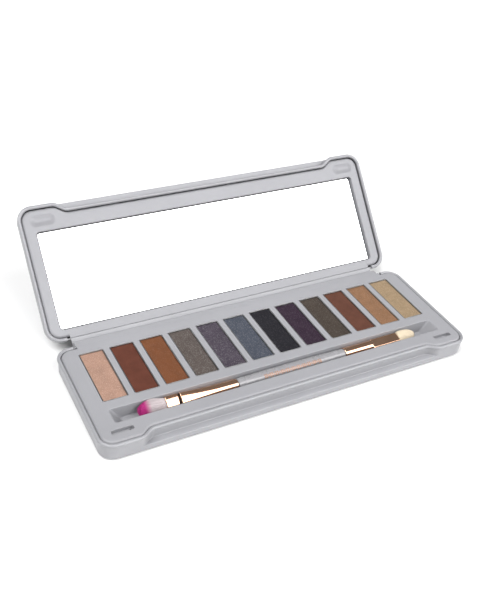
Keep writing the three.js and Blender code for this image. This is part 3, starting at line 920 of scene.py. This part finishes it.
class Finish:
    """A procedural material: one Principled shader fed by noise in the piece's own space, in metres."""

    def __init__(self, name, color, roughness, metallic=0.0):
        self.material = bpy.data.materials.new(name)
        self.material.use_nodes = True
        self.tree = self.material.node_tree
        self.shader = self.tree.nodes["Principled BSDF"]
        self.shader.inputs["Base Color"].default_value = (*color, 1)
        self.shader.inputs["Roughness"].default_value = roughness
        self.shader.inputs["Metallic"].default_value = metallic
        self.place = self.tree.nodes.new("ShaderNodeTexCoord").outputs["Object"]

    def link(self, a, b):
        self.tree.links.new(a, b)

    def set(self, **values):
        for key, value in values.items():
            self.shader.inputs[key.replace("_", " ")].default_value = value

    def stretched(self, scale):
        """The piece's space scaled by a different number on each axis."""
        mapping = self.tree.nodes.new("ShaderNodeMapping")
        mapping.inputs["Scale"].default_value = scale
        self.link(self.place, mapping.inputs["Vector"])
        return mapping.outputs["Vector"]

    def noise(self, scale, detail=3.0, roughness=0.5, space=None):
        node = self.tree.nodes.new("ShaderNodeTexNoise")
        node.inputs["Scale"].default_value = scale
        node.inputs["Detail"].default_value = detail
        node.inputs["Roughness"].default_value = roughness
        self.link(space or self.place, node.inputs["Vector"])
        return node.outputs["Fac"]

    def cells(self, scale, output="Distance"):
        node = self.tree.nodes.new("ShaderNodeTexVoronoi")
        node.inputs["Scale"].default_value = scale
        self.link(self.place, node.inputs["Vector"])
        return node.outputs[output]

    def along_x(self, start, end):
        """0 to 1 between two places along X, in metres."""
        split = self.tree.nodes.new("ShaderNodeSeparateXYZ")
        self.link(self.place, split.inputs["Vector"])
        ranged = self.tree.nodes.new("ShaderNodeMapRange")
        ranged.interpolation_type = "SMOOTHSTEP"
        ranged.inputs["From Min"].default_value = start
        ranged.inputs["From Max"].default_value = end
        self.link(split.outputs["X"], ranged.inputs["Value"])
        return ranged.outputs["Result"]

    def sharp_outer_edges(self):
        """High where the surface is a sharp outer edge."""
        return self.tree.nodes.new("ShaderNodeNewGeometry").outputs["Pointiness"]

    def spread(self, value, low, high, from_low=0.3, from_high=0.7):
        ranged = self.tree.nodes.new("ShaderNodeMapRange")
        ranged.inputs["From Min"].default_value = from_low
        ranged.inputs["From Max"].default_value = from_high
        ranged.inputs["To Min"].default_value = low
        ranged.inputs["To Max"].default_value = high
        self.link(value, ranged.inputs["Value"])
        return ranged.outputs["Result"]

    def multiply(self, a, b):
        node = self.tree.nodes.new("ShaderNodeMath")
        node.operation = "MULTIPLY"
        self.link(a, node.inputs[0])
        self.link(b, node.inputs[1])
        return node.outputs["Value"]

    def mixed(self, factor, a, b):
        """A colour between a and b. Each is a colour or another node's output."""
        node = self.tree.nodes.new("ShaderNodeMix")
        node.data_type = "RGBA"
        self.link(factor, node.inputs["Factor"])
        for value, socket in ((a, node.inputs[6]), (b, node.inputs[7])):
            if isinstance(value, tuple):
                socket.default_value = (*value, 1)
            else:
                self.link(value, socket)
        return node.outputs[2]

    def clouded(self, value, color, dark, pale):
        """The colour from dark times itself to pale times itself, as value rises."""
        return self.mixed(self.spread(value, 0, 1), lighter(color, dark), lighter(color, pale))

    def color(self, output):
        self.link(output, self.shader.inputs["Base Color"])

    def rough(self, output):
        self.link(output, self.shader.inputs["Roughness"])

    def bump(self, height, distance, strength=1.0):
        node = self.tree.nodes.new("ShaderNodeBump")
        node.inputs["Distance"].default_value = distance
        node.inputs["Strength"].default_value = strength
        self.link(height, node.inputs["Height"])
        self.link(node.outputs["Normal"], self.shader.inputs["Normal"])


SHADE = 0.9  # the studio light is strong, so every finish is kept a little darker


def linear(red, green, blue):
    """A display colour, 0 to 255, as the linear numbers that a shader takes."""
    def one(value):
        value = value / 255
        return SHADE * (value / 12.92 if value <= 0.04045 else ((value + 0.055) / 1.055) ** 2.4)
    return (one(red), one(green), one(blue))


def lighter(color, factor):
    return tuple(min(c * factor, 1) for c in color)


def tin_paint():
    """Satin paint on pressed tin: faint orange peel, cloudy gloss and a paler colour in patches along sharp
    outer edges.
    """
    color = linear(149, 149, 153)
    finish = Finish("tin_paint", color, 0.42)
    cloud = finish.noise(45, 4)
    body = finish.clouded(cloud, color, 0.965, 1.03)
    # The colour is made paler in patches along sharp outer edges.
    paler_edge_patches = finish.multiply(
        finish.spread(finish.sharp_outer_edges(), 0, 0.55, 0.53, 0.62),
        finish.spread(finish.noise(600, 4), 0, 1, 0.4, 0.6),
    )
    finish.color(finish.mixed(paler_edge_patches, body, linear(166, 166, 169)))
    finish.rough(finish.spread(finish.noise(160, 5), 0.34, 0.48))
    finish.bump(finish.noise(1500, 2), 0.00002, 0.35)
    finish.set(Coat_Weight=0.15, Coat_Roughness=0.2)
    return finish.material


def insert_plastic():
    """Moulded plastic: a fine even grain with slow changes of gloss."""
    color = linear(149, 149, 153)
    finish = Finish("insert_plastic", color, 0.4)
    cloud = finish.noise(30, 4)
    finish.color(finish.clouded(cloud, color, 0.97, 1.03))
    finish.rough(finish.spread(finish.noise(220, 4), 0.34, 0.45))
    finish.bump(finish.noise(3200, 3), 0.00003, 0.3)
    finish.set(Specular_IOR_Level=0.3)
    return finish.material


def mirror_silver():
    """Silvered glass with the faintest smears."""
    finish = Finish("mirror_silver", (0.93, 0.94, 0.95), 0.02, 1.0)
    smear = finish.noise(90, 5, space=finish.stretched((1, 2.5, 2.5)))
    finish.color(finish.mixed(finish.spread(smear, 0, 1), (0.92, 0.93, 0.94), (0.95, 0.955, 0.96)))
    finish.rough(finish.spread(smear, 0.01, 0.035))
    return finish.material


def bare_metal(name, color, low, high, stretch, crimp=None):
    """Drawn or rolled metal with a fine brushed grain along one axis.

    Its crimp, which is two places along X in millimetres, is painted near black as painted shade in the
    groove, and is rougher.
    """
    finish = Finish(name, color, (low + high) / 2, 1.0)
    brushed = finish.noise(1, 5, 0.6, finish.stretched(stretch))
    cloud = finish.noise(120, 4)
    body = finish.clouded(cloud, color, 0.9, 1.06)
    rough = finish.spread(brushed, low, high)
    if crimp:
        start, end = (x * MM for x in crimp)
        # The crimp is painted near black, as painted shade in its groove, and made rougher.
        crimp_shade_and_roughness = finish.multiply(finish.along_x(start, start + 0.2 * MM), finish.along_x(end, end - 0.2 * MM))
        body = finish.mixed(crimp_shade_and_roughness, body, lighter(color, 0.06))
        rough = finish.spread(crimp_shade_and_roughness, high, 0.7)
    finish.color(body)
    finish.rough(rough)
    finish.bump(brushed, 0.000006, 0.5)
    return finish.material


def powder_finish(name, color, shimmer):
    """Pressed powder: coarse and fine mottling, and mica flecks in the shimmering shades."""
    finish = Finish(name, color, 0.85)
    coarse = finish.noise(260, 4)
    fine = finish.noise(2400, 3, 0.6)
    body = finish.clouded(coarse, color, 0.88, 1.12)
    grain = finish.mixed(finish.spread(fine, 0, 0.5, 0.5, 0.75), body, lighter(color, 1.35))
    dark = finish.mixed(finish.spread(fine, 0.5, 0, 0.25, 0.5), grain, lighter(color, 0.6))
    if shimmer:
        flecks = finish.cells(3400, "Color")
        split = finish.tree.nodes.new("ShaderNodeSeparateColor")
        finish.link(flecks, split.inputs["Color"])
        fleck = finish.spread(split.outputs["Red"], 0, shimmer, 0.78, 0.9)
        dark = finish.mixed(fleck, dark, lighter(tuple(c + 0.12 for c in color), 1.5))
        metallic = finish.spread(split.outputs["Red"], 0, shimmer * 0.8, 0.78, 0.9)
        finish.link(metallic, finish.shader.inputs["Metallic"])
        finish.rough(finish.spread(split.outputs["Red"], 0.8, 0.35, 0.78, 0.9))
    else:
        finish.rough(finish.spread(fine, 0.78, 0.95))
    finish.color(dark)
    finish.bump(fine, 0.00006, 0.7)
    finish.set(Specular_IOR_Level=0.12)
    return finish.material


def handle_lacquer():
    """Glossy lacquer, even in colour."""
    color = linear(142, 141, 144)
    finish = Finish("handle_lacquer", color, 0.25)
    cloud = finish.noise(80, 3, space=finish.stretched((0.3, 1, 1)))
    finish.color(finish.clouded(cloud, color, 0.98, 1.02))
    finish.rough(finish.spread(finish.noise(250, 3), 0.24, 0.3))
    finish.bump(finish.noise(900, 2), 0.000004, 0.2)
    finish.set(Coat_Weight=0.5, Coat_Roughness=0.08)
    return finish.material


def brush_hair():
    """White hair, dyed pink at the tip."""
    white = linear(214, 202, 204)
    pink = linear(205, 40, 140)
    finish = Finish("brush_hair", white, 0.6)
    dyed = finish.along_x(HAIR_WHITE_X * MM, HAIR_PINK_X * MM)
    strands = finish.noise(1, 3, 0.6, finish.stretched((300, 5200, 5200)))
    body = finish.mixed(dyed, white, pink)
    shade = finish.mixed(dyed, lighter(white, 0.72), lighter(pink, 0.6))
    finish.color(finish.mixed(finish.spread(strands, 0.5, 0), body, shade))
    finish.rough(finish.spread(strands, 0.45, 0.7))
    finish.bump(strands, 0.00003, 0.6)
    finish.set(Sheen_Weight=0.3, Sheen_Roughness=0.4)
    return finish.material


def foam(name, color, scale):
    """Fine open foam whose small pores are painted darker, as painted shade in them."""
    finish = Finish(name, color, 0.95)
    pores_and_pore_shade = finish.cells(scale)
    cloud = finish.noise(scale / 8, 4)
    body = finish.clouded(cloud, color, 0.93, 1.05)
    # The pores are painted darker, as painted shade in them.
    finish.color(finish.mixed(finish.spread(pores_and_pore_shade, 0.35, 0, 0.1, 0.35), body, lighter(color, 0.62)))
    finish.rough(finish.spread(cloud, 0.88, 1))
    finish.bump(pores_and_pore_shade, 0.0001, 0.6)
    finish.set(Sheen_Weight=0.2)
    return finish.material


TIN = tin_paint()
PLASTIC = insert_plastic()
MIRROR = mirror_silver()
STEEL = bare_metal("wire_steel", (0.55, 0.55, 0.56), 0.22, 0.4, (200, 6000, 6000))
TINPLATE = bare_metal("pan_metal", (0.38, 0.38, 0.38), 0.3, 0.45, (300, 900, 4000))
ROSE_GOLD = bare_metal("rose_gold", (0.82, 0.51, 0.35), 0.1, 0.17, (2500, 300, 300))
# Its crimp is painted near black, as painted shade in the groove.
CRIMPED_GOLD = bare_metal(
    "crimped_rose_gold", (0.82, 0.51, 0.35), 0.1, 0.14, (2500, 300, 300), (-57.1, -55.7))
ROSE_FOIL = bare_metal("rose_foil", (0.36, 0.21, 0.145), 0.5, 0.6, (900, 900, 900))
LACQUER = handle_lacquer()
HAIR = brush_hair()
SPONGE = foam("foam_sponge", linear(205, 190, 165), 2200)
TAPE = foam("tape_foam", linear(84, 85, 89), 1500)

# Each shade: its name, its colour as displayed, and how strongly it shimmers.
SHADES = [
    ("peach_shimmer", (158, 126, 110), 0.3),
    ("chocolate", (90, 52, 41), 0.0),
    ("copper", (107, 66, 42), 0.1),
    ("olive_taupe", (80, 72, 68), 0.6),
    ("plum_grey", (65, 58, 68), 0.6),
    ("slate", (65, 69, 79), 0.45),
    ("soot", (31, 30, 35), 0.1),
    ("aubergine", (46, 33, 46), 0.15),
    ("dark_taupe", (64, 56, 50), 0.15),
    ("russet", (90, 58, 47), 0.0),
    ("tan", (127, 95, 71), 0.15),
    ("sand_gold", (141, 121, 96), 0.3),
]


# ================= Pieces =================


def make_case():
    base = Shape()
    add_shell(base, BASE_HEIGHT, BASE_LEDGE)
    add_drawn(base, base_leaf_profile(), LEAF_HALF)
    base.build("tin_base", "base", "tin_paint", TIN, ["base_shell"])
    wire_shape().build("hinge_pin", "base", "wire_steel", STEEL, ["hinge_wire"])

    lid = Shape()
    add_shell(lid, LID_HEIGHT, LID_LEDGE)
    for point in lid.points:
        point.z = LID_TOP - point.z
    add_drawn(lid, lid_leaf_profile(), LEAF_HALF)
    lid.build("tin_lid", "lid", "tin_paint", TIN, ["lid_shell"], OPEN_TURN)


def make_inserts():
    tray_shape().build("moulded_tray", "base", "insert_plastic", PLASTIC, ["tray_insert"])
    face_down = OPEN_TURN @ Matrix.Diagonal((1, 1, -1, 1))
    frame_shape().build("moulded_frame", "lid", "insert_plastic", PLASTIC, ["mirror_frame"], face_down)
    glass_shape().build("silvered_glass", "lid", "mirror_silver", MIRROR, ["mirror_glass"], OPEN_TURN)
    tape = frame["nodes"]["mirror_tape"]
    tape.data.materials.clear()
    tape.data.materials.append(TAPE)


def make_shades():
    for number, (slot, shade, shimmer) in enumerate(SHADES, start=1):
        mark = f"{number:02d}"
        low, high = box_mm(f"pan_{mark}")
        pan_shape(low, high).build(f"drawn_pan_{mark}", "base", "pan_metal", TINPLATE, [f"pan_{mark}"])
        low, high = box_mm(f"powder_{mark}")
        material = powder_finish(f"powder_{slot}", linear(*shade), shimmer)
        cake = powder_shape(low, high, number)
        cake.build(
            f"pressed_cake_{mark}", "base", f"powder_{slot}", material, [f"powder_{mark}"], flat_weight=False,
        )


def make_brush():
    handle_shape().build("lacquered_handle", "brush", "handle_lacquer", LACQUER, ["brush_handle"])
    handle_print_shape().build("handle_foil", "brush", "rose_gold", ROSE_FOIL)
    brush_ferrule_shape().build(
        "crimped_ferrule", "brush", "rose_gold", CRIMPED_GOLD, ["brush_ferrule"],
    )
    sponge_ferrule_shape().build("round_ferrule", "brush", "rose_gold", ROSE_GOLD, ["sponge_ferrule"])
    tuft_shape().build(
        "hair_tuft", "brush", "brush_hair", HAIR, ["bristle_tuft"], sharp_deg=180, flat_weight=False,
    )
    sponge = sponge_shape().build(
        "foam_applicator", "brush", "foam_sponge", SPONGE, ["sponge_tip"], sharp_deg=60, flat_weight=False,
    )


# ================= Studio =================

FOCAL_LENGTH = 47.66
SENSOR = 36
SHIFT = (-0.0032, 0.0377)
AZIMUTH = -31.68
ELEVATION = 38.3
ROLL = 6.76
DISTANCE = 403.83
TARGET = Vector((-5.49, 20.61, TRAY_TOP))
FLOOR_HALF = 4.0  # metres

OVERHEAD_FROM = (-0.45, -0.05, 0.88)
OVERHEAD_WIDTH = 50
OVERHEAD_BRIGHT = 3.3


def make_camera():
    azimuth, elevation, roll = (math.radians(a) for a in (AZIMUTH, ELEVATION, ROLL))
    back = Vector((
        math.sin(azimuth) * math.cos(elevation),
        -math.cos(azimuth) * math.cos(elevation),
        math.sin(elevation),
    ))
    right = (-back).cross(Vector((0, 0, 1))).normalized()
    up = back.cross(right)
    turned_right = right * math.cos(roll) + up * math.sin(roll)
    turned_up = up * math.cos(roll) - right * math.sin(roll)
    data = bpy.data.cameras.new("studio_camera")
    data.lens = FOCAL_LENGTH
    data.sensor_width = SENSOR
    data.shift_x, data.shift_y = SHIFT
    data.clip_start = 0.01
    camera = bpy.data.objects.new("studio_camera", data)
    turn = Matrix((turned_right, turned_up, back)).transposed().to_4x4()
    camera.matrix_world = Matrix.Translation((TARGET + back * DISTANCE) * MM) @ turn
    bpy.context.scene.collection.objects.link(camera)
    bpy.context.scene.camera = camera


def make_floor():
    mesh = bpy.data.meshes.new("floor")
    half = FLOOR_HALF
    corners = [(-half, -half, 0), (half, -half, 0), (half, half, 0), (-half, half, 0)]
    mesh.from_pydata(corners, [], [(0, 1, 2, 3)])
    finish = Finish("floor_paper", (0.66, 0.66, 0.66), 0.9)
    cloud = finish.spread(finish.noise(4, 2), 0, 1)
    finish.color(finish.mixed(cloud, (0.81, 0.81, 0.81), (0.83, 0.83, 0.83)))
    finish.set(Specular_IOR_Level=0.1)
    mesh.materials.append(finish.material)
    floor = bpy.data.objects.new("floor", mesh)
    bpy.context.scene.collection.objects.link(floor)


def add_overhead(name, direction, width_deg, strength):
    """A wide, far-off overhead light, so the whole floor is lit evenly."""
    data = bpy.data.lights.new(name, "SUN")
    data.angle = math.radians(width_deg)
    data.energy = strength
    light = bpy.data.objects.new(name, data)
    light.location = direction
    light.rotation_euler = (-Vector(direction)).to_track_quat("-Z", "Y").to_euler()
    bpy.context.scene.collection.objects.link(light)


FRONT_MIDDLE = (0.41, -0.71, 0.57)
FRONT_EDGE = (30, 24)
FRONT_BRIGHT = 5.1
ROOM_BRIGHT = 0.22


def make_world():
    """A dim room with a wide soft light high in front, which the mirror and the metal show."""
    world = bpy.data.worlds.new("studio")
    bpy.context.scene.world = world
    world.use_nodes = True
    tree = world.node_tree
    background = tree.nodes["Background"]
    direction = tree.nodes.new("ShaderNodeTexCoord").outputs["Generated"]
    dot = tree.nodes.new("ShaderNodeVectorMath")
    dot.operation = "DOT_PRODUCT"
    dot.inputs[1].default_value = Vector(FRONT_MIDDLE).normalized()
    tree.links.new(direction, dot.inputs[0])
    ranged = tree.nodes.new("ShaderNodeMapRange")
    ranged.interpolation_type = "SMOOTHSTEP"
    ranged.inputs["From Min"].default_value = math.cos(math.radians(FRONT_EDGE[0]))
    ranged.inputs["From Max"].default_value = math.cos(math.radians(FRONT_EDGE[1]))
    ranged.inputs["To Min"].default_value = ROOM_BRIGHT
    ranged.inputs["To Max"].default_value = FRONT_BRIGHT
    tree.links.new(dot.outputs["Value"], ranged.inputs["Value"])
    tree.links.new(ranged.outputs["Result"], background.inputs["Strength"])
    background.inputs["Color"].default_value = (1, 1, 1, 1)


make_case()
make_inserts()
make_shades()
make_brush()
make_camera()
make_floor()
make_world()
add_overhead("overhead_light", OVERHEAD_FROM, OVERHEAD_WIDTH, OVERHEAD_BRIGHT)
bpy.context.scene.view_settings.view_transform = "Standard"
